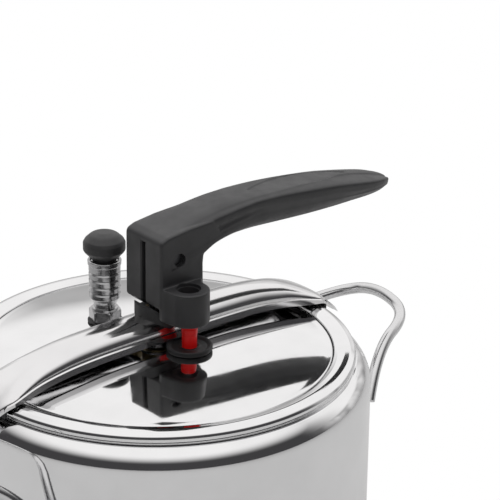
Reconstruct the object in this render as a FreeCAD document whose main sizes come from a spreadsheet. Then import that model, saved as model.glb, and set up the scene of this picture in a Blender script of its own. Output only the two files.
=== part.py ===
"""Stovetop pressure cooker whose lid is drawn up under the rim by a lever on a bridge.

Row frame: millimetres, +Z up, origin at the centre of the base on the hob, +X towards the
lever's grip and the right-hand loop handle.  Most pieces are drawn in the rim frame, whose
zero height is the lip of the mouth ring, and are lifted by Dims.rim_level when placed.
"""
import FreeCAD, Part
import math
import os
import Sketcher

Vector = FreeCAD.Vector

# ----------------------------------------------------------------- driving dimensions
DIMS = {
    # pot
    "rim_level": 145.0, "pot_radius": 113.0, "wall": 1.0, "heel_bend": 15.0, "shoulder_bend": 15.0,
    "shoulder_drop": 16.5, "base_height": 7.0, "base_radius": 97.0,
    "lip_radius": 105.0, "mouth_radius": 93.4, "band_rise": 2.4, "rim_depth": 3.0,
    # loop handles
    "loop_rod": 3.15, "loop_foot_drop": 46.4, "loop_foot_half": 46.0, "loop_foot_reach": 106.5,
    "loop_knee_drop": 23.8, "loop_knee_half": 37.0, "loop_knee_reach": 124.5,
    "loop_turn_drop": 16.0, "loop_turn_half": 26.5, "loop_turn_reach": 160.6, "loop_end_drop": 11.0,
    "plate_radius": 9.0, "plate_depth": 4.0,
    # lid
    "lid_radius": 92.0, "lid_crown": 6.2, "lid_flat": 28.0, "lid_dome": 393.1, "lid_shoulder": 1.2, "lid_skirt": 5.4,
    "gasket_radius": 98.5, "gasket_top": 3.4, "gasket_height": 3.2, "seal_clearance": 0.1,
    # bridge
    "arch_half": 13.3, "arch_crown": 22.0, "arch_low": 9.8, "arch_sheet": 1.6,
    "bush_radius": 8.0, "bush_bottom": 10.0, "collar_radius": 12.0, "collar_top": 22.8,
    "cam_rest_top": 28.0, "cam_rest_reach": 9.4, "cam_rest_end": 3.0,
    "foot_gap": 0.4, "foot_half": 14.0,
    # tie rod and pivot
    "rod_radius": 5.0, "run_clearance": 0.05, "tongue": 2.6, "tongue_start": 23.1,
    "eye_radius": 6.5, "pivot_x": 2.9, "pivot_height": 54.5, "pivot_pin": 3.2, "pivot_length": 25.0,
    # lever
    "block_half": 15.25, "block_back": 9.0, "block_front": 19.0, "block_bottom": 24.5,
    "block_top": 68.6, "cam_chamfer": 6.2, "slot_width": 3.0, "slot_top": 63.4, "slot_front": 10.0,
    "liner": 0.8, "boss_x": 3.5, "boss_y": 22.0, "boss_radius": 11.0, "boss_bottom": 22.3,
    "boss_top": 41.0, "boss_hole": 6.5, "sleeve_wall": 0.9,
    # pressure indicator
    "pin_x": 4.0, "pin_y": 22.0, "pin_radius": 4.0, "pin_top": 20.9, "pin_foot": 17.0,
    "grommet_radius": 12.2, "grommet_low": 7.0, "grommet_top": 9.5, "grommet_neck": 6.0,
    # regulating valve
    "valve_x": -8.0, "valve_y": 35.0, "valve_radius": 8.5, "valve_bottom": 19.7, "valve_top": 42.0,
    "hex_corner": 8.8, "hex_low": 7.2, "hex_top": 13.4, "neck_radius": 5.75,
    "knob_radius": 11.3, "knob_low": 47.4, "knob_top": 57.5, "knob_stem": 6.3,
}

# Arch stations from the middle outwards: distance along X, half width, underside, crown.
ARCH_STATIONS = (
    (0.0, 13.3, 9.8, 22.0),
    (40.0, 13.3, 9.5, 21.7),
    (62.0, 13.4, 8.5, 20.4),
    (80.0, 13.9, 6.4, 17.3),
    (90.0, 14.9, 5.0, 14.0),
    (98.0, 16.2, 4.1, 10.4),
    (102.0, 16.4, 3.7, 8.2),
    (106.0, 14.6, 2.8, 5.8),
    (111.0, 11.8, -1.8, 2.0),
    (117.0, 8.6, -6.8, -3.0),
    (123.0, 5.4, -10.8, -8.2),
    (127.0, 3.2, -13.4, -12.0),
)

# Grip stations: distance along X, top half width, top edge, crown, bottom half width, underside.
GRIP_STATIONS = (
    (15.0, 15.0, 69.6, 72.4, 15.0, 50.0),
    (21.0, 14.8, 70.6, 73.4, 13.5, 56.0),
    (35.0, 13.8, 71.2, 74.8, 11.0, 58.0),
    (60.0, 13.6, 71.0, 75.8, 9.8, 56.4),
    (90.0, 14.0, 68.4, 74.4, 9.2, 54.6),
    (120.0, 13.3, 64.6, 71.6, 8.8, 53.9),
    (140.0, 11.8, 61.2, 66.8, 8.0, 53.8),
    (151.0, 9.0, 59.4, 63.1, 6.0, 54.2),
    (157.5, 5.2, 57.8, 59.8, 3.4, 54.8),
    (161.0, 2.0, 56.8, 57.6, 1.3, 55.6),
)

SLOT_REACH = 60.0       # how far a cutting sketch reaches past the piece it opens
LOOP_BENDS = (30.0, 16.0, 24.0)


# ----------------------------------------------------------------- sizes bound to the sheet
class Size:
    """A length that carries its value and the sheet expression that drives it."""

    def __init__(self, value, text):
        self.value = float(value)
        self.text = text

    def joined(self, sign, other, value):
        return Size(value, "(%s %s %s)" % (self.text, sign, other.text))

    def __add__(self, other):
        other = as_size(other)
        return self.joined("+", other, self.value + other.value)

    def __sub__(self, other):
        other = as_size(other)
        return self.joined("-", other, self.value - other.value)

    def __mul__(self, other):
        other = as_size(other)
        return self.joined("*", other, self.value * other.value)

    def __truediv__(self, other):
        other = as_size(other)
        return self.joined("/", other, self.value / other.value)

    def __radd__(self, other):
        return as_size(other) + self

    def __rsub__(self, other):
        return as_size(other) - self

    def __rmul__(self, other):
        return as_size(other) * self

    def __neg__(self):
        return as_size(0.0) - self


def as_size(number):
    """Give a plain number the same interface as a sheet dimension."""
    return number if isinstance(number, Size) else Size(number, "(%r)" % float(number))


def make_sheet(doc):
    """Write every driving dimension to the spreadsheet and return them by name."""
    sheet = doc.addObject("Spreadsheet::Sheet", "Dims")
    sizes = {}
    for row, (name, value) in enumerate(DIMS.items(), start=1):
        cell = "B%d" % row
        sheet.set("A%d" % row, name)
        sheet.set(cell, str(value))
        sheet.setAlias(cell, name)
        sizes[name] = Size(value, "Dims." + name)
    return sizes


DOC = FreeCAD.newDocument("PressureCooker")
D = make_sheet(DOC)
DOC.recompute()


# ----------------------------------------------------------------- drawing helpers
def place(obj, x=0.0, y=0.0, z=0.0):
    """Bind an object's position to the sheet."""
    for axis, value in zip("xyz", (x, y, z)):
        obj.setExpression("Placement.Base." + axis, as_size(value).text)


def new_body(label, x=0.0, y=0.0, z=None):
    """Start a PartDesign body; by default its zero height is the rim level."""
    body = DOC.addObject("PartDesign::Body", label)
    body.Label = label
    place(body, x, y, D["rim_level"] if z is None else z)
    return body


def new_sketch(body, plane, offset=0.0):
    """Attach a sketch to one of the body's own origin planes, offset along its normal."""
    sketch = body.newObject("Sketcher::SketchObject", body.Label + "_sketch")
    support = next(f for f in body.Origin.OriginFeatures if f.Role == plane)
    sketch.AttachmentSupport = [(support, "")]
    sketch.MapMode = "FlatFace"
    sketch.setExpression("AttachmentOffset.Base.z", as_size(offset).text)
    return sketch


def arc_between(start, end, radius):
    """A short arc that bulges to the right of travel, or to the left if the radius is negative."""
    chord = end - start
    sagitta = abs(radius) - math.sqrt(radius * radius - chord.Length ** 2 / 4)
    side = Vector(chord.y, -chord.x, 0).normalize()
    middle = (start + end) * 0.5 + side * math.copysign(sagitta, radius)
    return Part.Arc(start, middle, end) if radius > 0 else Part.Arc(end, middle, start)


def draw_outline(sketch, points):
    """Draw a closed outline; a point's third entry is the radius of the arc that reaches it."""
    points = [tuple(as_size(entry) for entry in point) for point in points]
    corners = [Vector(point[0].value, point[1].value, 0) for point in points]
    first = sketch.GeometryCount
    total = len(points)
    arcs = {}
    for index in range(total):
        start, end = corners[index], corners[(index + 1) % total]
        target = points[(index + 1) % total]
        if len(target) > 2:
            arcs[index] = target[2]
            curve = arc_between(start, end, target[2].value)
        else:
            curve = Part.LineSegment(start, end)
        sketch.addGeometry(curve, False)
    ends = [end_names(sketch.Geometry[first + i], corners[i]) for i in range(total)]
    for index in range(total):
        following = (index + 1) % total
        sketch.addConstraint(Sketcher.Constraint(
            "Coincident", first + index, ends[index][1], first + following, ends[following][0]))
    for index, point in enumerate(points):
        for kind, size in (("DistanceX", point[0]), ("DistanceY", point[1])):
            number = sketch.addConstraint(Sketcher.Constraint(
                kind, -1, 1, first + index, ends[index][0], size.value))
            sketch.setExpression("Constraints[%d]" % number, size.text)
    for index, radius in arcs.items():
        number = sketch.addConstraint(
            Sketcher.Constraint("Radius", first + index, abs(radius.value)))
        sketch.setExpression("Constraints[%d]" % number, "abs(%s)" % radius.text)


def end_names(curve, start):
    """Which end of a curve is its start: 1 and 2, or 2 and 1 where the arc was turned round."""
    to_first = curve.StartPoint.distanceToPoint(start)
    to_last = curve.EndPoint.distanceToPoint(start)
    return (1, 2) if to_first < to_last else (2, 1)


def draw_circle(sketch, x, y, radius):
    """Draw a circle bound to the sheet."""
    x, y, radius = as_size(x), as_size(y), as_size(radius)
    circle = Part.Circle(Vector(x.value, y.value, 0), Vector(0, 0, 1), radius.value)
    index = sketch.addGeometry(circle, False)
    for kind, size in (("DistanceX", x), ("DistanceY", y)):
        number = sketch.addConstraint(Sketcher.Constraint(kind, -1, 1, index, 3, size.value))
        sketch.setExpression("Constraints[%d]" % number, size.text)
    number = sketch.addConstraint(Sketcher.Constraint("Radius", index, radius.value))
    sketch.setExpression("Constraints[%d]" % number, radius.text)


def revolve(body, points):
    """Turn an outline of radius and height round the body's own Z axis."""
    sketch = new_sketch(body, "XZ_Plane")
    draw_outline(sketch, points)
    feature = body.newObject("PartDesign::Revolution", body.Label + "_turned")
    feature.Profile = (sketch, [""])
    feature.ReferenceAxis = (sketch, ["V_Axis"])
    feature.Angle = 360
    DOC.recompute()
    return feature


def extrude(body, sketch, length, cut=False, symmetric=False):
    """Pad or pocket a sketch by a bound length; a pocket always cuts both ways."""
    kind = "PartDesign::Pocket" if cut else "PartDesign::Pad"
    feature = body.newObject(kind, body.Label + ("_cut" if cut else "_pad"))
    feature.Profile = (sketch, [""])
    feature.SideType = "Symmetric" if symmetric or cut else "One side"
    feature.setExpression("Length", as_size(length).text)
    DOC.recompute()
    return feature


def drill(body, x, y, radius):
    """Cut a vertical hole right through the body."""
    sketch = new_sketch(body, "XY_Plane")
    draw_circle(sketch, x, y, radius)
    return extrude(body, sketch, 4 * SLOT_REACH, cut=True)


def round_edges(body, radius, test):
    """Fillet the edges of the body's tip that pass a test of the edge."""
    tip = body.Tip
    names = ["Edge%d" % i for i, edge in enumerate(tip.Shape.Edges, start=1) if test(edge)]
    fillet = body.newObject("PartDesign::Fillet", body.Label + "_fillet")
    fillet.Base = (tip, names)
    fillet.Radius = radius
    DOC.recompute()
    return fillet


def ring(label, inner, outer, low, high, x=0.0, y=0.0, z=None):
    """A plain washer, tube or bush."""
    body = new_body(label, x, y, z)
    revolve(body, [(inner, low), (outer, low), (outer, high), (inner, high)])
    return body


def hexagon(corner):
    """Corners of a hexagon, with two of them on the X axis."""
    return [(corner * math.cos(math.radians(60 * i)), corner * math.sin(math.radians(60 * i)))
            for i in range(6)]


def nut(label, corner, hole, low, height, x=0.0, y=0.0):
    """A hexagon nut."""
    body = new_body(label, x, y)
    sketch = new_sketch(body, "XY_Plane", low)
    draw_outline(sketch, hexagon(corner))
    extrude(body, sketch, height)
    drill(body, 0.0, 0.0, hole)
    return body


def loft(body, sketches, cut=False):
    """Join a row of section sketches into one smooth solid, or cut it away."""
    kind = "PartDesign::SubtractiveLoft" if cut else "PartDesign::AdditiveLoft"
    feature = body.newObject(kind, body.Label + "_loft")
    feature.Profile = (sketches[0], [""])
    feature.Sections = [(sketch, [""]) for sketch in sketches[1:]]
    DOC.recompute()
    return feature


# ----------------------------------------------------------------- pot
def make_pot_body():
    """Pressed steel vessel whose wall turns in over the shoulder to a broad rolled rim."""
    rim, wall, bend = D["rim_level"], D["wall"], D["heel_bend"]
    heel = D["pot_radius"] - bend
    shoulder, turn = rim - D["shoulder_drop"], D["shoulder_bend"]
    floor = D["base_height"]
    mouth, lip = D["mouth_radius"], D["lip_radius"]
    under = rim - D["rim_depth"]
    body = new_body("pot_body", z=0.0)
    revolve(body, [
        (0.0, floor), (heel, floor), (D["pot_radius"], floor + bend, bend),
        (D["pot_radius"], shoulder), (lip + 0.3, rim - 3.4, turn),
        (lip - 0.8, rim - 3.1), (lip - 0.8, rim - 2.3),
        (lip - 0.7, rim + 0.7, 1.9), (mouth + 0.5, rim + 1.3, 10.4), (mouth, rim + 0.6, 0.8),
        (mouth, under), (lip - 3.0, under), (lip - 2.4, rim - 3.28),
        (D["pot_radius"] - wall, shoulder, wall - turn),
        (D["pot_radius"] - wall, floor + bend), (heel, floor + wall, wall - bend),
        (0.0, floor + wall),
    ])
    return body


def make_base():
    """Aluminium heat spreader closed in a thin steel cap under the pot's floor."""
    wall, outer = D["wall"], D["base_radius"]
    core = new_body("base_core", z=0.0)
    revolve(core, [(0.0, wall), (outer - wall, wall), (outer - wall, D["base_height"]),
                   (0.0, D["base_height"])])
    cap = new_body("base_cap", z=0.0)
    revolve(cap, [(0.0, 0.0), (outer - 3.0, 0.0), (outer, 3.0, 3.0), (outer, D["base_height"]),
                  (outer - wall, D["base_height"]), (outer - wall, wall), (0.0, wall)])
    return [core, cap]


def rounded_path(points, bends):
    """A wire of straight runs joined by tangent arcs of the given radii."""
    edges = []
    start = points[0]
    for corner, after, bend in zip(points[1:-1], points[2:], bends):
        before_way = (corner - start).normalize()
        after_way = (after - corner).normalize()
        turn = before_way.getAngle(after_way)
        reach = bend * math.tan(turn / 2)
        enter, leave = corner - before_way * reach, corner + after_way * reach
        inward = (after_way - before_way).normalize()
        middle = corner + inward * (bend / math.cos(turn / 2) - bend)
        edges.append(Part.LineSegment(start, enter).toShape())
        edges.append(Part.Arc(enter, middle, leave).toShape())
        start = leave
    edges.append(Part.LineSegment(start, points[-1]).toShape())
    return Part.Wire(edges)


def make_loop_handle(side, name):
    """Bent rod loop on one side of the pot, and the two plates that weld it on."""
    size = {key: DOC.Dims.get(key) for key in DIMS if key.startswith(("loop", "rim", "plate"))}
    near = [Vector(side * size["loop_%s_reach" % part], -size["loop_%s_half" % part],
                   size["rim_level"] - size["loop_%s_drop" % part])
            for part in ("foot", "knee", "turn")]
    lift = Vector(0, 0, size["loop_turn_drop"] - size["loop_end_drop"])
    crest = Vector(side * (size["loop_turn_reach"] + 0.8), 0, near[2].z) + lift
    far = [Vector(p.x, -p.y, p.z) for p in reversed(near)]
    knee, turn, end = LOOP_BENDS
    spine = DOC.addObject("Part::Feature", "loop_spine_" + name)
    spine.Shape = rounded_path(near + [crest] + far, (knee, turn, end, turn, knee))
    section = DOC.addObject("Part::Circle", "loop_section_" + name)
    section.setExpression("Radius", D["loop_rod"].text)
    way = (near[1] - near[0]).normalize()
    section.Placement = FreeCAD.Placement(near[0], FreeCAD.Rotation(Vector(0, 0, 1), way))
    sweep = DOC.addObject("Part::Sweep", "loop_handle_" + name)
    sweep.Label = "loop_handle_" + name
    sweep.Sections = [section]
    sweep.Spine = (spine, ["Edge%d" % (i + 1) for i in range(len(spine.Shape.Edges))])
    sweep.Solid = True
    return [sweep, make_weld_plates(side, name, near[0])]


def make_weld_plates(side, name, foot):
    """Two round plates between the rod's ends and the pot's wall, as one group."""
    plates = []
    for mirror in (1, -1):
        tag = name + ("_front" if mirror == 1 else "_back")
        way = Vector(foot.x, mirror * foot.y, 0).normalize()
        start = way * (D["pot_radius"].value - D["wall"].value)
        disc = DOC.addObject("Part::Cylinder", "plate_disc_" + tag)
        disc.setExpression("Radius", D["plate_radius"].text)
        disc.setExpression("Height", (D["plate_depth"] + D["wall"]).text)
        disc.Placement = FreeCAD.Placement(Vector(start.x, start.y, foot.z),
                                           FreeCAD.Rotation(Vector(0, 0, 1), way))
        drum = DOC.addObject("Part::Cylinder", "plate_drum_" + tag)
        drum.setExpression("Radius", D["pot_radius"].text)
        drum.setExpression("Height", D["rim_level"].text)
        plate = DOC.addObject("Part::Cut", "plate_" + tag)
        plate.Base, plate.Tool = disc, drum
        plates.append(plate)
    group = DOC.addObject("Part::Compound", "weld_plates_" + name)
    group.Label = "weld_plates_" + name
    group.Links = plates
    return group


# ----------------------------------------------------------------- lid
def make_lid_shell():
    """Shallow domed lid with a short skirt and a flange that carries the gasket."""
    wall, edge = D["wall"], D["lid_radius"]
    skirt = -D["lid_skirt"]
    body = new_body("lid_shell")
    revolve(body, [
        (0.0, D["lid_crown"] - wall), (D["lid_flat"], D["lid_crown"] - wall),
        (edge - 2.0, D["lid_shoulder"] - wall, wall - D["lid_dome"]),
        (edge - wall, D["lid_shoulder"] - 2.0), (edge - wall, skirt),
        (edge + 1.1, skirt), (edge + 1.1, skirt + wall), (edge, skirt + wall),
        (edge, D["lid_shoulder"] - 1.5), (edge - 1.5, D["lid_shoulder"], 1.5),
        (D["lid_flat"], D["lid_crown"], D["lid_dome"]), (0.0, D["lid_crown"]),
    ])
    drill(body, 0.0, 0.0, D["rod_radius"] + D["seal_clearance"])
    drill(body, D["valve_x"], D["valve_y"], D["neck_radius"])
    drill(body, D["pin_x"], -D["pin_y"], D["grommet_neck"])
    return body


def make_gasket():
    """Black rubber ring that grips the lid's flange and seals under the rim."""
    top = -D["gasket_top"]
    low = top - D["gasket_height"]
    gap, edge = D["seal_clearance"], D["lid_radius"]
    flange_low, flange_top = -D["lid_skirt"] - gap, D["wall"] - D["lid_skirt"] + gap
    body = new_body("lid_gasket")
    revolve(body, [
        (edge - 0.5, low), (D["gasket_radius"], low), (D["gasket_radius"], top), (edge + gap, top),
        (edge + gap, flange_top), (edge + 1.2, flange_top), (edge + 1.2, flange_low),
        (edge - 0.5, flange_low),
    ])
    return body


def make_tie_rod():
    """Central rod: thread and nut under the lid, round through the bush, flat eye at the top."""
    rod, crown = D["rod_radius"], D["lid_crown"]
    body = new_body("tie_rod")
    revolve(body, [
        (0.0, -12.0), (rod - 0.8, -12.0), (rod, -11.2), (rod, crown + 0.2), (8.8, crown + 0.2),
        (8.8, crown + 2.0), (7.6, crown + 3.2), (rod, crown + 3.2),
        (rod, D["tongue_start"]), (0.0, D["tongue_start"]),
    ])
    pivot, high, eye = D["pivot_x"], D["pivot_height"], D["eye_radius"]
    flat = rod - 0.6
    sketch = new_sketch(body, "XZ_Plane")
    draw_outline(sketch, [
        (-flat, D["tongue_start"] - 4.0), (flat, D["tongue_start"] - 4.0), (flat, high - 10.0),
        (pivot + eye, high, -60.0), (pivot, high + eye, eye), (pivot - eye, high, eye),
        (-flat, high - 10.0, -60.0),
    ])
    extrude(body, sketch, D["tongue"], symmetric=True)
    hole = new_sketch(body, "XZ_Plane")
    draw_circle(hole, pivot, high, D["pivot_pin"] + D["run_clearance"])
    extrude(body, hole, SLOT_REACH, cut=True)
    return body


def make_lid_fixings():
    """Seal and nut that hold the tie rod to the lid."""
    under = D["lid_crown"] - D["wall"]
    rod = D["rod_radius"]
    return [
        ring("tie_rod_seal", rod, 8.4, under - 1.8, under - 0.1),
        nut("tie_rod_nut", 9.6, rod, under - 8.0, 6.0),
    ]


# ----------------------------------------------------------------- bridge
def make_arch():
    """Polished half-round channel that spans the mouth and hooks over the rim at both ends."""
    body = new_body("bridge_arch")
    stations = [(-x, half, low, crown) for x, half, low, crown in reversed(ARCH_STATIONS[1:])]
    stations += list(ARCH_STATIONS)
    loft(body, [arch_section(body, *station) for station in stations])
    sheet = D["arch_sheet"]
    inner = [arch_section(body, x, half - sheet, low - 1.2, crown - sheet)
             for x, half, low, crown in stations if abs(x) < 100]
    loft(body, inner, cut=True)
    drill(body, 0.0, 0.0, D["bush_radius"])
    return body


def arch_section(body, x, half, low, crown):
    """Round-topped section of the arch across X."""
    rise = as_size(crown) - low
    half = as_size(half)
    radius = (half * half + rise * rise) / (2 * rise)
    sketch = new_sketch(body, "YZ_Plane", x)
    draw_outline(sketch, [(-half, low, radius), (half, low)])
    return sketch


def make_bridge_fittings():
    """Guide bush, its circlip and the saddle collar under the lever's cam."""
    rod = D["rod_radius"] + D["run_clearance"]
    bush = ring("guide_bush", rod, D["bush_radius"], D["bush_bottom"], D["collar_top"])
    clip = ring("bush_circlip", D["bush_radius"], D["bush_radius"] + 1.6,
                D["bush_bottom"] + 1.0, D["bush_bottom"] + 2.0)
    crown, half = D["arch_crown"], D["arch_half"]
    rise = crown - D["arch_low"]
    radius = (half * half + rise * rise) / (2 * rise)
    collar = new_body("saddle_collar")
    high = D["cam_rest_top"]
    revolve(collar, [(D["bush_radius"], crown - 7.5), (D["collar_radius"], crown - 7.5),
                     (D["collar_radius"], high), (D["bush_radius"], high)])
    slope = new_sketch(collar, "XZ_Plane")
    draw_outline(slope, [
        (-D["cam_rest_end"], D["collar_top"]), (SLOT_REACH, D["collar_top"]),
        (SLOT_REACH, SLOT_REACH), (-SLOT_REACH, SLOT_REACH), (-SLOT_REACH, high),
        (-D["cam_rest_reach"], high),
    ])
    extrude(collar, slope, SLOT_REACH, cut=True)
    seat = new_sketch(collar, "YZ_Plane")
    draw_circle(seat, 0.0, crown - radius, radius + 0.05)
    extrude(collar, seat, SLOT_REACH, cut=True)
    return [bush, clip, collar]


def make_bridge_foot(side, name, arch):
    """Rubber foot between the arch and the rim, hollowed to the arch and hooked over the lip."""
    body = new_body("foot_blank_" + name)
    rest = D["band_rise"] + D["foot_gap"]
    lip = D["lip_radius"] + 0.7
    sketch = new_sketch(body, "XZ_Plane")
    outline = [(94.0, rest), (100.0, rest), (lip, rest - 1.3), (lip, -2.6), (lip + 1.4, -2.6),
               (lip + 1.4, rest), (lip - 1.0, 4.2), (94.0, 5.4)]
    draw_outline(sketch, mirrored(outline, side))
    extrude(body, sketch, 2 * D["foot_half"], symmetric=True)
    foot = DOC.addObject("Part::Cut", "bridge_foot_" + name)
    foot.Label = "bridge_foot_" + name
    foot.Base, foot.Tool = body, arch
    return foot


def mirrored(outline, side):
    """The outline itself, or its mirror image about the vertical with its direction kept."""
    if side > 0:
        return outline
    count = len(outline)
    flipped = []
    for index in range(count):
        point = outline[-index % count]
        reached_by = outline[(-index + 1) % count]
        corner = (-as_size(point[0]), point[1])
        flipped.append(corner + tuple(reached_by[2:]))
    return flipped


# ----------------------------------------------------------------- pressure indicator
def make_indicator():
    """Red lock pin in a rubber grommet, with its cage, spring and retainer under the lid."""
    x, y = D["pin_x"], -D["pin_y"]
    pin, neck = D["pin_radius"], D["grommet_neck"]
    bore = pin + D["seal_clearance"]
    grommet = new_body("pin_grommet", x, y)
    revolve(grommet, [
        (bore, 2.6), (9.0, 2.6), (9.0, 5.0), (neck, 5.0), (neck, 6.3), (9.2, 6.3),
        (8.6, D["grommet_low"]), (D["grommet_radius"], D["grommet_low"] + 0.6),
        (D["grommet_radius"], D["grommet_top"] - 0.8),
        (D["grommet_radius"] - 0.8, D["grommet_top"], 0.8), (7.4, D["grommet_top"] - 1.0),
        (bore, D["grommet_top"] - 1.2),
    ])
    red = new_body("lock_pin", x, y)
    foot = -D["pin_foot"]
    revolve(red, [
        (0.0, foot), (pin, foot), (pin, D["pin_top"] - 1.2),
        (pin - 1.2, D["pin_top"], 1.2), (0.0, D["pin_top"]),
    ])
    retainer = ring("pin_retainer", pin, 7.4, foot + 1.0, foot + 2.4, x, y)
    spring = ring("pin_spring", pin + 0.8, pin + 2.2, foot + 2.6, 2.4, x, y)
    cage = new_body("pin_cage", x, y)
    revolve(cage, [
        (9.3, 4.9), (9.3, foot + 4.0), (10.3, foot + 4.0), (10.3, 3.9), (13.4, 3.9), (13.4, 4.9),
    ][::-1])
    return [grommet, red, retainer, spring, cage]


# ----------------------------------------------------------------- regulating valve
def make_valve():
    """Spring-loaded regulating valve on a hexagon stem, with its black knob."""
    x, y = D["valve_x"], D["valve_y"]
    outer, low, top = D["valve_radius"], D["valve_bottom"], D["valve_top"]
    neck, stem = D["neck_radius"], D["knob_stem"]
    bore = stem + D["run_clearance"]
    seat = make_valve_stem(x, y)
    seal = ring("valve_seal", neck, D["hex_corner"] + 0.6, 6.25, D["hex_low"], x, y)
    under = nut("valve_nut", 9.2, neck - 0.75, 0.2, 4.6, x, y)
    shell = new_body("valve_body", x, y)
    revolve(shell, [
        (neck, low - 2.6), (neck + 0.6, low - 2.6), (outer - 1.0, low), (outer, low + 1.0),
        (outer, top - 2.4), (outer + 0.6, top - 1.8), (outer + 0.6, top - 0.4, 1.2),
        (outer, top), (bore, top), (bore, low + 1.6), (neck, low + 1.6),
    ])
    vent = new_sketch(shell, "XZ_Plane", outer)
    draw_circle(vent, 0.0, top - 5.0, 1.3)
    extrude(shell, vent, 6.0, cut=True)
    knob = new_body("valve_knob", x, y)
    grip, rest, high = D["knob_radius"], D["knob_low"], D["knob_top"]
    revolve(knob, [
        (0.0, top - 6.0), (stem, top - 6.0), (stem, top + 0.6), (stem + 1.1, top + 0.8),
        (grip - 0.4, rest - 0.6), (grip, rest + 0.4, 1.2), (grip, rest + 4.2),
        (grip - 3.2, high - 1.6, 6.5), (2.0, high, 13.0), (0.0, high),
    ])
    needle = new_body("valve_needle", x, y)
    revolve(needle, [
        (0.0, low - 3.4), (2.6, low + 2.2), (2.6, low + 4.6), (stem - 0.3, low + 4.6),
        (stem - 0.3, low + 6.4), (2.6, low + 6.4), (2.6, top - 6.0), (0.0, top - 6.0),
    ])
    spring = ring("valve_spring", 3.4, 5.4, low + 6.6, top - 6.4, x, y)
    return [seat, seal, under, shell, knob, needle, spring]


def make_valve_stem(x, y):
    """Threaded nozzle with a hexagon that clamps on the lid and a vent bore."""
    neck = D["neck_radius"]
    body = new_body("valve_stem", x, y)
    sketch = new_sketch(body, "XY_Plane", D["hex_low"])
    draw_outline(sketch, hexagon(D["hex_corner"]))
    extrude(body, sketch, D["hex_top"] - D["hex_low"])
    thread = new_sketch(body, "XY_Plane", -4.0)
    draw_circle(thread, 0.0, 0.0, neck - 0.75)
    extrude(body, thread, D["hex_low"] + 5.0)
    column = new_sketch(body, "XY_Plane", D["hex_top"] - 1.0)
    draw_circle(column, 0.0, 0.0, neck)
    extrude(body, column, D["valve_bottom"] + 1.2 - D["hex_top"])
    drill(body, 0.0, 0.0, 1.6)
    cone = new_sketch(body, "XY_Plane", D["valve_bottom"])
    draw_circle(cone, 0.0, 0.0, 3.0)
    extrude(body, cone, 10.0, cut=True)
    return body


# ----------------------------------------------------------------- lever
def make_lever():
    """Moulded lever: a cam block with a fork slot, a lock boss and a long flat grip."""
    body = new_body("lever_handle")
    back, front, half = D["block_back"], D["block_front"], D["block_half"]
    low, top, chamfer = D["block_bottom"], D["block_top"], D["cam_chamfer"]
    block = new_sketch(body, "XZ_Plane")
    draw_outline(block, [
        (chamfer - back, low), (front, low), (front, top + 3.0), (-back + 6.0, top + 2.2),
        (-back, top - 3.0, 6.0), (-back, low + 5.0),
    ])
    extrude(body, block, 2 * half, symmetric=True)
    round_edges(body, 2.0, is_block_edge)
    loft(body, [grip_section(body, *station) for station in GRIP_STATIONS])
    add_lock_boss(body)
    slot = new_sketch(body, "XZ_Plane")
    draw_outline(slot, [(-SLOT_REACH, 0.0), (D["slot_front"], 0.0),
                        (D["slot_front"], D["slot_top"]), (-SLOT_REACH, D["slot_top"])])
    extrude(body, slot, D["slot_width"] + 2 * D["liner"], cut=True)
    pivot = new_sketch(body, "XZ_Plane")
    draw_circle(pivot, D["pivot_x"], D["pivot_height"], D["pivot_pin"])
    extrude(body, pivot, SLOT_REACH, cut=True)
    return body


def is_block_edge(edge):
    """The outer corners of the block's back half, which all lie in one of its two sides."""
    return edge.BoundBox.YLength < 1.0 and edge.BoundBox.Center.x < 0


def grip_section(body, x, top_half, top_edge, crown, low_half, low):
    """Four-sided grip section with crowned top, bulging sides and a rounded underside."""
    top_half, low_half = as_size(top_half), as_size(low_half)
    rise = as_size(crown) - top_edge
    radius = (top_half * top_half + rise * rise) / (2 * rise)
    side = as_size(1.5) * (as_size(top_edge) - low)
    sketch = new_sketch(body, "YZ_Plane", x)
    draw_outline(sketch, [
        (-low_half, low, side), (low_half, low, 1.6 * low_half),
        (top_half, top_edge, side), (-top_half, top_edge, radius),
    ])
    return sketch


def add_lock_boss(body):
    """Boss beside the block that the raised indicator pin enters."""
    x, y, radius = D["boss_x"], -D["boss_y"], D["boss_radius"]
    height = D["boss_top"] - D["boss_bottom"]
    sketch = new_sketch(body, "XY_Plane", D["boss_bottom"] + 3.0)
    draw_outline(sketch, [
        (x - radius, y), (x, y - radius, radius), (x + radius, y, radius),
        (x + radius + 1.2, -D["block_half"] + 1.0), (x - radius - 0.8, -D["block_half"] + 1.0),
    ])
    extrude(body, sketch, height - 3.0)
    tip = new_sketch(body, "XY_Plane", D["boss_bottom"])
    draw_circle(tip, x, y, radius - 2.6)
    extrude(body, tip, 4.0)
    drill_boss = new_sketch(body, "XY_Plane", D["boss_bottom"])
    draw_circle(drill_boss, x, y, D["boss_hole"])
    extrude(body, drill_boss, 2 * height + 4.0, cut=True)


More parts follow.
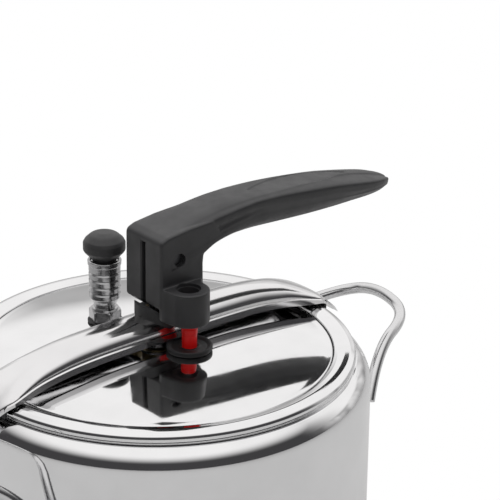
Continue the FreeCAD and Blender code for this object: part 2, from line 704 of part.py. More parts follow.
def make_lever_fittings():
    """Pivot pin, steel liners of the fork slot and the sleeve in the lock boss."""
    pin = new_body("pivot_pin")
    sketch = new_sketch(pin, "XZ_Plane")
    draw_circle(sketch, D["pivot_x"], D["pivot_height"], D["pivot_pin"])
    extrude(pin, sketch, D["pivot_length"], symmetric=True)
    liners = []
    for side, tag in ((1, "back"), (-1, "front")):
        plate = new_body("fork_liner_" + tag)
        drawing = new_sketch(plate, "XZ_Plane", side * (D["slot_width"] / 2))
        draw_outline(drawing, [
            (D["cam_chamfer"] - D["block_back"] + 0.3, D["block_bottom"] + 0.3),
            (D["slot_front"], D["block_bottom"] + 0.3), (D["slot_front"], D["slot_top"]),
            (0.3 - D["block_back"], D["slot_top"]), (0.3 - D["block_back"], D["block_bottom"] + 5.6),
        ])
        feature = extrude(plate, drawing, D["liner"])
        feature.Reversed = side < 0
        hole = new_sketch(plate, "XZ_Plane")
        draw_circle(hole, D["pivot_x"], D["pivot_height"], D["pivot_pin"])
        extrude(plate, hole, SLOT_REACH, cut=True)
        liners.append(plate)
    group = DOC.addObject("Part::Compound", "fork_liner")
    group.Label = "fork_liner"
    group.Links = liners
    wall = D["sleeve_wall"]
    sleeve = ring("lock_sleeve", D["boss_hole"] - wall, D["boss_hole"],
                  D["boss_bottom"] + 0.4, D["boss_top"] - 1.6, D["boss_x"], -D["boss_y"])
    return [pin, group, sleeve]


# ----------------------------------------------------------------- whole cooker
def make_cooker():
    """Build every piece and return the objects whose labels are the node names."""
    pieces = [make_pot_body()] + make_base()
    for side, name in ((1, "right"), (-1, "left")):
        pieces += make_loop_handle(side, name)
    pieces += [make_lid_shell(), make_gasket(), make_tie_rod()] + make_lid_fixings()
    arch = make_arch()
    pieces += [arch] + make_bridge_fittings()
    pieces += [make_bridge_foot(1, "right", arch), make_bridge_foot(-1, "left", arch)]
    pieces += make_indicator() + make_valve()
    pieces += [make_lever()] + make_lever_fittings()
    return pieces


def check(pieces):
    """Stop if any object failed or any piece has no sound shape."""
    failed = [obj.Label for obj in DOC.Objects if {"Invalid", "Error"} & set(obj.State)]
    if failed:
        raise RuntimeError("these objects failed: " + ", ".join(failed))
    for piece in pieces:
        shape = piece.Shape
        if shape.isNull() or not shape.isValid() or not shape.Solids:
            raise RuntimeError("%s has no sound shape" % piece.Label)
        print("%-22s solids %d  volume %9.1f mm3" % (piece.Label, len(shape.Solids), shape.Volume))


def write(pieces):
    """Write one STEP file per piece."""
    os.makedirs("parts", exist_ok=True)
    for piece in pieces:
        piece.Shape.exportStep("parts/%s.step" % piece.Label)


PIECES = make_cooker()
DOC.recompute()
check(PIECES)
write(PIECES)
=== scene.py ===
"""Looks of the stovetop pressure cooker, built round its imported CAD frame.

Metres, +Z up, origin at the centre of the base.  Shapes are drawn in millimetres above the
rim, the lip plane of the mouth ring, and turned to metres when a mesh is made.
"""
import math

import bmesh
import bpy
from mathutils import Matrix, Vector


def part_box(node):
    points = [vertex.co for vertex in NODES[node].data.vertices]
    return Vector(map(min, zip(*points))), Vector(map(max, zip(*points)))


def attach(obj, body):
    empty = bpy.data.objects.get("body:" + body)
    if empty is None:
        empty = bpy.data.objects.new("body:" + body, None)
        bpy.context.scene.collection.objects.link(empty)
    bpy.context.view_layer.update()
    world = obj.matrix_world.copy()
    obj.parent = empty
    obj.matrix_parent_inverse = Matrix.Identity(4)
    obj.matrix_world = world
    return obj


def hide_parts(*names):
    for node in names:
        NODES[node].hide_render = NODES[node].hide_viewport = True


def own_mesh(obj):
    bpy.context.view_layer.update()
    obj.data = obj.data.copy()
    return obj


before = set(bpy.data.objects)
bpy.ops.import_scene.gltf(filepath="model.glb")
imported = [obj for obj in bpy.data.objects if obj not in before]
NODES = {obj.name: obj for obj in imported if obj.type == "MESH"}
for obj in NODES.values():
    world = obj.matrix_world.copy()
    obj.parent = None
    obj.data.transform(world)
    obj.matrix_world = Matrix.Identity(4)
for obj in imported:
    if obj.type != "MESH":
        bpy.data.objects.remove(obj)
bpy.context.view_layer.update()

MM = 0.001
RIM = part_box("lid_gasket")[1].z / MM + 3.4          # height of the mouth ring's lip
SMOOTH_ANGLE = math.radians(32)
NEARLY_STRAIGHT = math.radians(89.5)    # half angle of a corner too flat to round

# Places and sizes that several pieces share, in millimetres.
PIN_AT = (4.0, -22.0)           # X and Y of the red pin
BOSS_AT = (3.5, -22.0)          # X and Y of the lever's pin boss
VALVE_AT = (-8.0, 35.0)         # X and Y of the valve
PIVOT_AT = (2.9, 54.5)          # X of the lever's pivot and its height above the rim
WALL = 113.0                    # outer radius of the pot
FLOOR = 7.0 - RIM               # underside of the vessel
ROD_HOLE = 5.1                  # radius of the lid's centre hole
PIN_HOLE = 6.0                  # radius of the pin's hole in the lid
STEM_RADIUS = 5.75              # valve's neck and its hole in the lid
BUSH_HOLE = 8.0                 # radius of the hole in the arch


# ----------------------------------------------------------------- mesh helpers
def new_object(name, vertices, faces):
    """Link an object whose mesh is given by millimetre points above the rim."""
    mesh = bpy.data.meshes.new(name)
    mesh.from_pydata([(x * MM, y * MM, (z + RIM) * MM) for x, y, z in vertices], [], faces)
    obj = bpy.data.objects.new(name, mesh)
    bpy.context.scene.collection.objects.link(obj)
    return obj


def mesh_piece(name, vertices, faces, material, body, replaced, sharp=SMOOTH_ANGLE):
    """Make a smooth-shaded piece and hang it on a body."""
    piece = new_object(name, vertices, faces)
    tidy_mesh(piece, sharp)
    register(piece, material, body, replaced)
    return piece


def tidy_mesh(piece, sharp):
    """Merge doubles, make normals face outwards and keep only real creases sharp."""
    bm = bmesh.new()
    bm.from_mesh(piece.data)
    bmesh.ops.remove_doubles(bm, verts=bm.verts, dist=1e-6)
    bmesh.ops.recalc_face_normals(bm, faces=bm.faces)
    for face in bm.faces:
        face.smooth = True
    for edge in bm.edges:
        edge.smooth = len(edge.link_faces) != 2 or edge.calc_face_angle(0.0) < sharp
    bm.to_mesh(piece.data)
    bm.free()


def register(piece, material, body, replaced):
    """Give a piece its material, hang it on its body and hide the CAD parts it replaces."""
    piece.data.materials.append(material)
    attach(piece, body)
    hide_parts(*replaced)


def rounded(points, steps=7):
    """Round the corners of a path of (x, z) or (x, z, radius) points with arcs."""
    path = []
    last = len(points) - 1
    for index, point in enumerate(points):
        here = Vector(point[:2])
        radius = point[2] if len(point) > 2 and 0 < index < last else 0.0
        if radius == 0.0:
            path.append(tuple(here))
            continue
        to_before = (Vector(points[index - 1][:2]) - here).normalized()
        to_after = (Vector(points[index + 1][:2]) - here).normalized()
        half = to_before.angle(to_after) / 2
        if half > NEARLY_STRAIGHT:
            path.append(tuple(here))
            continue
        reach = radius / math.tan(half)
        centre = here + (to_before + to_after).normalized() * (radius / math.sin(half))
        start = here + to_before * reach - centre
        turn = start.angle_signed(here + to_after * reach - centre)
        for step in range(steps + 1):
            angle = turn * step / steps
            arm = Vector((start.x * math.cos(angle) + start.y * math.sin(angle),
                          start.y * math.cos(angle) - start.x * math.sin(angle)))
            path.append(tuple(centre + arm))
    return path


def dense(path, longest):
    """Split the long runs of a path so that a turned surface has even faces."""
    result = [path[0]]
    for before, after in zip(path, path[1:]):
        count = max(1, math.ceil(math.dist(before, after) / longest))
        for step in range(1, count + 1):
            share = step / count
            result.append(tuple(a + (b - a) * share for a, b in zip(before, after)))
    return result


def lathe(name, outline, material, body, replaced, at=(0.0, 0.0), turns=192,
          sharp=SMOOTH_ANGLE, longest=6.0):
    """Turn a closed outline of radius and height round a vertical axis."""
    path = dense(rounded(outline), longest)
    vertices, rings = [], []
    for radius, height in path:
        if radius < 1e-6:
            rings.append([len(vertices)] * turns)
            vertices.append((at[0], at[1], height))
            continue
        rings.append(list(range(len(vertices), len(vertices) + turns)))
        for step in range(turns):
            angle = 2 * math.pi * step / turns
            vertices.append((at[0] + radius * math.cos(angle),
                             at[1] + radius * math.sin(angle), height))
    pairs = list(zip(rings, rings[1:]))
    if path[0][0] > 1e-6:
        pairs.append((rings[-1], rings[0]))
    faces = []
    for low, high in pairs:
        for step in range(turns):
            after = (step + 1) % turns
            corners = [low[step], low[after], high[after], high[step]]
            unique = list(dict.fromkeys(corners))
            if len(unique) > 2:
                faces.append(unique)
    return mesh_piece(name, vertices, faces, material, body, replaced, sharp)


def loft_mesh(rings):
    """Vertices and faces that join equal rings of points, with both ends closed."""
    count = len(rings[0])
    vertices = [point for ring in rings for point in ring]
    faces = []
    for index in range(len(rings) - 1):
        base = index * count
        for step in range(count):
            after = (step + 1) % count
            faces.append((base + step, base + after, base + count + after, base + count + step))
    faces.append(tuple(range(count))[::-1])
    faces.append(tuple(range(len(vertices) - count, len(vertices))))
    return vertices, faces


def tube(name, points, radius, material, body, replaced, sides=32):
    """A round rod with flat ends along a smooth list of points."""
    rings = []
    side = None
    for index, point in enumerate(points):
        here = Vector(point)
        before = Vector(points[max(0, index - 1)])
        after = Vector(points[min(len(points) - 1, index + 1)])
        way = (after - before).normalized()
        if side is None:
            side = way.orthogonal().normalized()
        side = (side - way * side.dot(way)).normalized()
        other = way.cross(side)
        rings.append([tuple(here + side * (radius * math.cos(a)) + other * (radius * math.sin(a)))
                      for a in (2 * math.pi * k / sides for k in range(sides))])
    vertices, faces = loft_mesh(rings)
    return mesh_piece(name, vertices, faces, material, body, replaced)


def spline(points, steps):
    """Clamped quadratic B-spline of its control points."""
    order, degree = 3, 2
    count = len(points)
    knots = [0.0] * degree + [float(k) for k in range(count - degree + 1)]
    knots += [float(count - degree)] * degree
    result = []
    for step in range(steps + 1):
        t = min((count - degree) * step / steps, count - degree - 1e-9)
        span = int(t) + degree
        local = [Vector(points[span - degree + k]) for k in range(order)]
        for level in range(1, order):
            for k in range(degree, level - 1, -1):
                low = knots[span - degree + k]
                high = knots[span + 1 + k - level]
                share = (t - low) / (high - low)
                local[k] = local[k - 1].lerp(local[k], share)
        result.append(local[degree])
    return result


def along(table, x):
    """Smooth value of each column of a table of stations at a distance along it."""
    if x <= table[0][0]:
        return table[0][1:]
    for index in range(len(table) - 1):
        low, high = table[index], table[index + 1]
        if x <= high[0]:
            before = table[max(0, index - 1)]
            after = table[min(len(table) - 1, index + 2)]
            width = high[0] - low[0]
            share = (x - low[0]) / width
            values = []
            for column in range(1, len(low)):
                rise_low = (high[column] - before[column]) / max(1e-9, high[0] - before[0])
                rise_high = (after[column] - low[column]) / max(1e-9, after[0] - low[0])
                values.append(hermite(low[column], high[column], rise_low * width,
                                      rise_high * width, share))
            return tuple(values)
    return table[-1][1:]


def hermite(start, end, rise_start, rise_end, share):
    """Cubic that meets both ends with the given slopes."""
    square, cube = share * share, share ** 3
    return ((2 * cube - 3 * square + 1) * start + (cube - 2 * square + share) * rise_start
            + (3 * square - 2 * cube) * end + (cube - square) * rise_end)


# ----------------------------------------------------------------- materials
def new_material(name, **values):
    """A Principled material whose constants sit on the shader's own sockets."""
    material = bpy.data.materials.new(name)
    material.use_nodes = True
    shader = material.node_tree.nodes["Principled BSDF"]
    for socket, value in values.items():
        shader.inputs[socket.replace("_", " ")].default_value = value
    return material, material.node_tree, shader


def noise(tree, scale, detail=3.0, stretch=(1.0, 1.0, 1.0), space="Object"):
    """Noise over the object's own space, in features per metre, stretched along its axes."""
    place = tree.nodes.new("ShaderNodeTexCoord")
    mapping = tree.nodes.new("ShaderNodeMapping")
    mapping.inputs["Scale"].default_value = stretch
    texture = tree.nodes.new("ShaderNodeTexNoise")
    texture.inputs["Scale"].default_value = scale
    texture.inputs["Detail"].default_value = detail
    tree.links.new(place.outputs[space], mapping.inputs["Vector"])
    tree.links.new(mapping.outputs["Vector"], texture.inputs["Vector"])
    return texture.outputs["Fac"]


def ramp(tree, source, low, high, start=0.35, stop=0.65):
    """Map a grey source to a range of values or colours."""
    node = tree.nodes.new("ShaderNodeValToRGB")
    node.color_ramp.elements[0].position = start
    node.color_ramp.elements[1].position = stop
    node.color_ramp.elements[0].color = low if isinstance(low, tuple) else (low, low, low, 1)
    node.color_ramp.elements[1].color = high if isinstance(high, tuple) else (high, high, high, 1)
    tree.links.new(source, node.inputs["Fac"])
    return node.outputs["Color"]


def bump(tree, shader, source, strength, depth):
    """Fine relief, its depth in metres."""
    node = tree.nodes.new("ShaderNodeBump")
    node.inputs["Strength"].default_value = strength
    node.inputs["Distance"].default_value = depth
    tree.links.new(source, node.inputs["Height"])
    tree.links.new(node.outputs["Normal"], shader.inputs["Normal"])


def steel(name, colour, rough_low, rough_high, grain=0.0, stretch=(1.0, 1.0, 1.0)):
    """Stainless steel: mirror or satin, with faint smears and fine polishing marks."""
    material, tree, shader = new_material(name, Metallic=1.0)
    smears = noise(tree, 38.0, 4.0)
    tint = ramp(tree, smears, tuple(c * 0.955 for c in colour) + (1,), colour + (1,))
    tree.links.new(tint, shader.inputs["Base Color"])
    tree.links.new(ramp(tree, noise(tree, 90.0, 5.0, stretch), rough_low, rough_high),
                   shader.inputs["Roughness"])
    if grain:
        bump(tree, shader, noise(tree, 1400.0, 2.0, stretch), grain, 0.04 * MM)
    return material


def moulded(name, dark, light, rough_low, rough_high, grain):
    """Moulded plastic or rubber with a fine spark-eroded texture and slight handling marks."""
    material, tree, shader = new_material(name)
    tree.links.new(ramp(tree, noise(tree, 55.0, 4.0), dark + (1,), light + (1,)),
                   shader.inputs["Base Color"])
    tree.links.new(ramp(tree, noise(tree, 140.0, 5.0), rough_low, rough_high),
                   shader.inputs["Roughness"])
    bump(tree, shader, noise(tree, 2600.0, 2.0), grain, 0.06 * MM)
    return material


MIRROR = steel("mirror_steel", (0.86, 0.86, 0.865), 0.035, 0.075)
VALVE_STEEL = steel("turned_steel", (0.47, 0.47, 0.475), 0.17, 0.24)
ROD_STEEL = steel("rod_steel", (0.74, 0.74, 0.745), 0.15, 0.21)
ARCH_STEEL = steel("pressed_steel", (0.82, 0.815, 0.82), 0.10, 0.16, 0.05, (0.08, 1.0, 1.0))
SATIN = steel("satin_steel", (0.66, 0.66, 0.67), 0.24, 0.36, 0.25, (1.0, 1.0, 0.06))
SPRING = steel("spring_steel", (0.5, 0.5, 0.53), 0.25, 0.35)
ALUMINIUM = steel("aluminium", (0.78, 0.78, 0.79), 0.3, 0.42, 0.2)
DARK_STEEL = steel("blackened_steel", (0.10, 0.10, 0.105), 0.35, 0.5)
# Brass for the guide bush, its colour darkened as painted shade so that it reads as the shade in
# the gap under the lever.
SHADE_DARK_BRASS = steel("brass_darkened_as_shade", (0.32, 0.25, 0.13), 0.34, 0.46, 0.15, (1.0, 1.0, 8.0))
PHENOLIC = moulded("black_phenolic", (0.025, 0.025, 0.0265), (0.033, 0.033, 0.0345),
                   0.38, 0.48, 0.35)
KNOB = moulded("black_knob", (0.028, 0.028, 0.029), (0.036, 0.036, 0.037),
               0.42, 0.52, 0.3)
RUBBER = moulded("black_rubber", (0.010, 0.010, 0.011), (0.018, 0.018, 0.019),
                 0.45, 0.62, 0.2)
RED = moulded("red_silicone", (0.93, 0.005, 0.005), (0.98, 0.008, 0.006), 0.34, 0.44, 0.05)


# ----------------------------------------------------------------- camera and studio
CAMERA_AT = Vector((-0.6941, -0.8905, 0.6721))
CAMERA_AIM = Vector((0.5980, 0.7031, -0.3848))
CAMERA_ROLL = math.radians(0.744)
CAMERA_LENS = 169.74
AWAY = (0.648, 0.762, 0.0)          # level direction of the bright rear wall


def make_camera():
    """Long-lens view down on the lid from the pin's side."""
    data = bpy.data.cameras.new("camera")
    data.lens = CAMERA_LENS
    data.clip_end = 30.0
    camera = bpy.data.objects.new("camera", data)
    bpy.context.scene.collection.objects.link(camera)
    camera.location = CAMERA_AT
    turn = CAMERA_AIM.to_track_quat("-Z", "Y").to_matrix().to_4x4()
    camera.rotation_euler = (turn @ Matrix.Rotation(CAMERA_ROLL, 4, "Z")).to_euler()
    bpy.context.scene.camera = camera


def make_studio():
    """Floor that the camera sees as plain white, the surroundings and two softboxes."""
    mesh = bpy.data.meshes.new("floor")
    reach = 6.0
    mesh.from_pydata([(-reach, -reach, 0), (reach, -reach, 0), (reach, reach, 0),
                      (-reach, reach, 0)], [], [(0, 1, 2, 3)])
    floor = bpy.data.objects.new("floor", mesh)
    bpy.context.scene.collection.objects.link(floor)
    material, tree, shader = new_material("floor_white", Base_Color=(0.5, 0.5, 0.5, 1),
                                          Roughness=0.9)
    glow = tree.nodes.new("ShaderNodeEmission")
    glow.inputs["Strength"].default_value = 1.0
    path = tree.nodes.new("ShaderNodeLightPath")
    mix = tree.nodes.new("ShaderNodeMixShader")
    tree.links.new(path.outputs["Is Camera Ray"], mix.inputs["Fac"])
    tree.links.new(shader.outputs["BSDF"], mix.inputs[1])
    tree.links.new(glow.outputs["Emission"], mix.inputs[2])
    tree.links.new(mix.outputs["Shader"], tree.nodes["Material Output"].inputs["Surface"])
    mesh.materials.append(material)
    make_world()
    add_softbox("top_box", (0.1, 0.3, 1.9), (0, 0, 0.15), 1.4, 1.4, 20.0)
    add_softbox("front_box", (-1.1, -1.5, 1.0), (0, 0, 0.16), 1.2, 0.8, 3.0)
    bpy.context.scene.view_settings.view_transform = "Standard"


def make_world():
    """White backdrop; reflections see a bright rear wall and ceiling and a dim near side."""
    world = bpy.data.worlds.new("studio")
    bpy.context.scene.world = world
    world.use_nodes = True
    tree = world.node_tree
    place = tree.nodes.new("ShaderNodeTexCoord")
    split = tree.nodes.new("ShaderNodeSeparateXYZ")
    tree.links.new(place.outputs["Generated"], split.inputs["Vector"])
    behind = tree.nodes.new("ShaderNodeVectorMath")
    behind.operation = "DOT_PRODUCT"
    behind.inputs[1].default_value = AWAY
    tree.links.new(place.outputs["Generated"], behind.inputs[0])
    rear = ramp(tree, map_range(tree, behind.outputs["Value"], -0.10, 0.55), 0.0, 1.0, 0, 1)
    overhead = ramp(tree, map_range(tree, split.outputs["Z"], 0.42, 0.88), 0.0, 1.0, 0, 1)
    low = ramp(tree, map_range(tree, split.outputs["Z"], -0.02, 0.20), 0.55, 1.0, 0, 1)
    streaks = noise(tree, 4.0, 2.0, (1.0, 1.0, 0.05), "Generated")
    streaks = ramp(tree, streaks, 0.45, 1.0, 0.40, 0.58)
    high = ramp(tree, map_range(tree, split.outputs["Z"], 0.16, 0.34), 0.0, 1.0, 0, 1)
    low = blend(tree, "MULTIPLY", low, blend(tree, "MAXIMUM", streaks, high))
    bright = blend(tree, "MULTIPLY", blend(tree, "MAXIMUM", rear, overhead), low)
    shade = ramp(tree, bright, (0.045, 0.044, 0.046, 1), (0.80, 0.792, 0.788, 1), 0, 1)
    background = tree.nodes["Background"]
    tree.links.new(shade, background.inputs["Color"])
    background.inputs["Strength"].default_value = 1.25
    backdrop = tree.nodes.new("ShaderNodeBackground")
    backdrop.inputs["Color"].default_value = (1, 1, 1, 1)
    path = tree.nodes.new("ShaderNodeLightPath")
    mix = tree.nodes.new("ShaderNodeMixShader")
    tree.links.new(path.outputs["Is Camera Ray"], mix.inputs["Fac"])
    tree.links.new(background.outputs["Background"], mix.inputs[1])
    tree.links.new(backdrop.outputs["Background"], mix.inputs[2])
    tree.links.new(mix.outputs["Shader"], tree.nodes["World Output"].inputs["Surface"])


def blend(tree, operation, first, second):
    """One arithmetic step on two sources."""
    node = tree.nodes.new("ShaderNodeMath")
    node.operation = operation
    tree.links.new(first, node.inputs[0])
    tree.links.new(second, node.inputs[1])
    return node.outputs["Value"]


def map_range(tree, source, low, high):
    """Smoothly map low..high to 0..1."""
    node = tree.nodes.new("ShaderNodeMapRange")
    node.interpolation_type = "SMOOTHSTEP"
    node.inputs["From Min"].default_value = low
    node.inputs["From Max"].default_value = high
    tree.links.new(source, node.inputs["Value"])
    return node.outputs["Result"]


def add_softbox(name, at, aim, width, height, power):
    """Rectangular area light turned to a point."""
    data = bpy.data.lights.new(name, "AREA")
    data.shape = "RECTANGLE"
    data.size, data.size_y, data.energy = width, height, power
    light = bpy.data.objects.new(name, data)
    light.location = at
    light.visible_glossy = False
    light.rotation_euler = (Vector(aim) - Vector(at)).to_track_quat("-Z", "Y").to_euler()
    bpy.context.scene.collection.objects.link(light)


# ----------------------------------------------------------------- pot
def make_pot():
    """Vessel with its rolled mouth ring, and the base under it."""
    inner = WALL - 1.0
    lathe("pot_shell", [
        (0.0, FLOOR), (96.0, FLOOR), (98.5, FLOOR, 2), (WALL, FLOOR, 14.5),
        (WALL, -30.0), (WALL, -3.0, 13.2), (105.4, -3.0, 0.6), (104.3, -2.9, 0.3),
        (104.3, -2.1, 0.3), (104.85, -1.9, 0.4), (105.0, -0.4, 1.0), (104.3, 1.1, 1.4),
        (101.6, 2.25, 4.0), (98.6, 2.45, 6.0), (95.4, 1.95, 4.0), (93.2, 1.2, 0.7),
        (93.1, -2.8, 0.5), (94.2, -3.0, 0.3), (102.4, -3.1, 0.4), (inner, -4.5, 12.2),
        (inner, FLOOR + 1.0, 14.0), (0.0, FLOOR + 1.0),
    ], MIRROR, "pot", ("pot_body",), turns=256)
    lathe("base_cup", [
        (0.0, -RIM), (93.0, -RIM), (97.0, -RIM, 3.2), (97.0, FLOOR, 0.4), (96.0, FLOOR, 0.4),
        (96.0, 1.0 - RIM, 2.4), (0.0, 1.0 - RIM),
    ], SATIN, "pot", ("base_cap",))


LOOP_RADIUS = 3.15
LOOP_HALF = (           # control points of the near half, ending at the middle of the loop
    (109.9, -47.8, -46.4), (124.5, -37.0, -23.8), (159.4, -24.2, -16.1), (161.4, 0.0, -9.8),
)
FOOT_TOWARDS = (106.5, -46.0)       # where a loop meets the wall, seen from the pot's axis


def make_loops():
    """Bent rod handles at both ends, with their weld feet."""
    for side, name in ((1, "right"), (-1, "left")):
        points = [(side * x, y, z) for x, y, z in LOOP_HALF]
        points += [(x, -y, z) for x, y, z in reversed(points[:-1])]
        tube("loop_rod_" + name, spline(points, 160), LOOP_RADIUS, ROD_STEEL, "pot",
             ("loop_handle_" + name,))
        make_weld_feet(side, name)


def make_weld_feet(side, name):
    """Domed round feet where a loop meets the wall, as one piece."""
    vertices, faces = [], []
    profile = rounded([(0.0, 4.2), (4.0, 4.2, 2.0), (8.6, 1.2, 1.4), (8.8, -0.4)])
    turns = 48
    for mirror in (1, -1):
        way = Vector((side * FOOT_TOWARDS[0], mirror * FOOT_TOWARDS[1], 0)).normalized()
        across = Vector((-way.y, way.x, 0))
        centre = way * WALL + Vector((0, 0, LOOP_HALF[0][2]))
        rings = []
        for radius, height in profile:
            ring = []
            for step in range(turns):
                angle = 2 * math.pi * step / turns
                sideways = radius * math.cos(angle)
                drop = WALL - math.sqrt(WALL ** 2 - sideways ** 2)
                ring.append(tuple(centre + across * sideways + way * (height - drop)
                                  + Vector((0, 0, radius * math.sin(angle)))))
            rings.append(ring)
        part, part_faces = loft_mesh(rings)
        base = len(vertices)
        vertices += part
        faces += [tuple(base + k for k in face) for face in part_faces]
    mesh_piece("weld_feet_" + name, vertices, faces, SATIN, "pot", ("weld_plates_" + name,))


# ----------------------------------------------------------------- lid
LID_CROWN = 6.2         # height of the lid's level middle
LID_INSIDE = 5.2        # the same under its sheet
LID_LEVEL = 24.0        # radius of the level middle
LID_CURVE = 860.0       # twice the radius of the arc beyond it


def lid_fall(radius):
    """How far the lid's dome has dropped at a radius."""
    beyond = max(0.0, radius - LID_LEVEL)
    return beyond * beyond / LID_CURVE


def make_lid():
    """Mirror dome with its holes, and its gasket."""
    radii = [ROD_HOLE] + list(range(6, 91, 2))
    dome = [(r, LID_CROWN - lid_fall(r)) for r in radii]
    under = [(r, LID_INSIDE - lid_fall(r)) for r in radii[-2::-1]]
    lid = lathe("lid_dome", dome + [
        (92.7, 0.95, 1.0), (92.7, -4.4, 0.3), (93.1, -4.4, 0.2),
        (93.1, -5.4, 0.2), (91.0, -5.4, 0.3), (91.0, -0.8, 1.5),
    ] + under, MIRROR, "lid", ("lid_shell",), turns=256)
    holes = (PIN_AT + (PIN_HOLE,), VALVE_AT + (STEM_RADIUS,))
    pierce(lid, MIRROR, holes, -4.0, 12.0, SMOOTH_ANGLE)
    lathe("lid_seal", [
        (91.5, -6.6), (98.5, -6.6, 0.9), (98.5, -3.4, 0.9), (92.1, -3.4, 0.3),
        (92.1, -4.3), (93.2, -4.3), (93.2, -5.5), (91.5, -5.5),
    ], RUBBER, "lid", ("lid_gasket",), turns=256)


# ----------------------------------------------------------------- bridge
ARCH_STATIONS = (
    # along, half width, underside, crown
    (0.0, 13.3, 9.8, 22.0),
    (40.0, 13.3, 9.5, 21.7),
    (62.0, 13.4, 8.5, 20.4),
    (80.0, 13.9, 6.4, 17.3),
    (90.0, 14.9, 4.8, 14.0),
    (98.0, 16.1, 3.9, 10.4),
    (102.0, 16.4, 3.4, 8.2),
    (106.0, 14.6, 1.4, 5.8),
    (111.0, 11.8, -2.6, 2.0),
    (117.0, 8.6, -6.8, -3.0),
    (123.0, 5.2, -10.8, -8.2),
    (126.2, 2.6, -13.0, -11.6),
)
FLANGE = 3.4            # height of the plain band along each side of the arch
SHEET = 1.3             # its thickness
SOLID_FROM = 99.0       # the tongues beyond this distance are solid
SOLID_OVER = 2.5        # length over which the hollow closes


def arch_profile(half, low, crown, band):
    """Half of the outer skin of the arch across X, from the side's foot to the crown."""
    shoulder = low + band
    points = [(half, low), (half - 0.15, shoulder), (half - 0.95, shoulder + 0.5)]
    start = math.radians(4)
    for step in range(1, 17):
        angle = start + (math.pi / 2 - start) * step / 16
        points.append(((half - 0.95) * math.cos(angle) ** 0.93,
                       shoulder + 0.5 + (crown - shoulder - 0.5) * math.sin(angle) ** 0.95))
    points[-1] = (0.0, crown)
    return points


def arch_ring(x):
    """Outer and inner skin of the channel across X, as one closed ring."""
    half, low, crown = along(ARCH_STATIONS, abs(x))
    band = min(FLANGE, 0.35 * (crown - low))
    outer = arch_profile(half, low, crown, band)
    fill = min(1.0, max(0.0, (abs(x) - SOLID_FROM) / SOLID_OVER))
    inner_half = max(0.5, half - SHEET)
    inner_crown = (crown - SHEET) * (1 - fill) + (low + 0.2) * fill
    inner = [(y * inner_half / half, low + (z - low) * (inner_crown - low) / (crown - low))
             for y, z in outer]
    ring = outer + [(-y, z) for y, z in outer[-2::-1]]
    ring += [(-y, z) for y, z in inner] + inner[-2::-1]
    return [(x, y, z) for y, z in ring]


def make_arch():
    """Polished channel that spans the mouth."""
    reach = ARCH_STATIONS[-1][0]
    count = 240
    rings = [arch_ring(-reach + 2 * reach * k / count) for k in range(count + 1)]
    vertices, faces = loft_mesh(rings)
    crease = math.radians(24)
    arch = mesh_piece("arch_channel", vertices, faces, ARCH_STEEL, "bridge", ("bridge_arch",),
                      sharp=crease)
    pierce(arch, ARCH_STEEL, ((0.0, 0.0, BUSH_HOLE),), 6.0, 30.0, crease)


# ----------------------------------------------------------------- indicator
def make_indicator():
    """Red lock pin standing in its rubber grommet."""
    lathe("indicator_pin", [
        (0.0, -17.0), (4.0, -17.0, 0.5), (4.0, 15.6, 0.3), (4.25, 16.0, 0.3),
        (4.25, 18.4, 0.5), (4.0, 18.9, 0.2), (4.0, 19.4, 0.2), (4.2, 19.8, 0.4),
        (3.6, 20.9, 0.7), (0.0, 20.9),
    ], RED, "lock_pin", ("lock_pin",), at=PIN_AT, turns=64, longest=2.0)
    lathe("indicator_grommet", [
        (4.3, 2.6), (9.0, 2.6, 0.6), (9.0, 5.0, 0.4), (6.0, 5.0), (6.0, 6.3),
        (11.5, 6.35, 0.5), (12.2, 7.4, 0.6), (12.2, 9.1, 0.4),
        (11.6, 9.5, 0.5), (10.8, 9.2, 0.6), (9.4, 8.3, 1.4), (6.4, 8.2, 1.0), (5.0, 8.6, 0.5),
        (4.3, 8.4, 0.3),
    ], RUBBER, "lid", ("pin_grommet",), at=PIN_AT, turns=96, longest=1.5)
    low, high, travel = -14.2, 2.2, 6.0
    spring = helix("indicator_spring", PIN_AT, 5.5, 0.7, low, high, 7, "lid", "pin_spring")
    press_upwards(spring)


def helix(name, at, radius, wire, low, high, turns, body, node):
    """Closed-end compression spring of round wire."""
    steps = turns * 28
    points = []
    for step in range(steps + 1):
        share = step / steps
        angle = 2 * math.pi * turns * share
        rise = min(1.0, max(0.0, (share * (turns + 1) - 0.5) / turns))
        points.append((at[0] + radius * math.cos(angle), at[1] + radius * math.sin(angle),
                       low + wire + (high - low - 2 * wire) * rise))
    return tube(name, points, wire, SPRING, body, (node,), sides=10)


def press_upwards(spring):
    """Give a spring a mesh of its own, not shared with any other object."""
    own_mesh(spring)


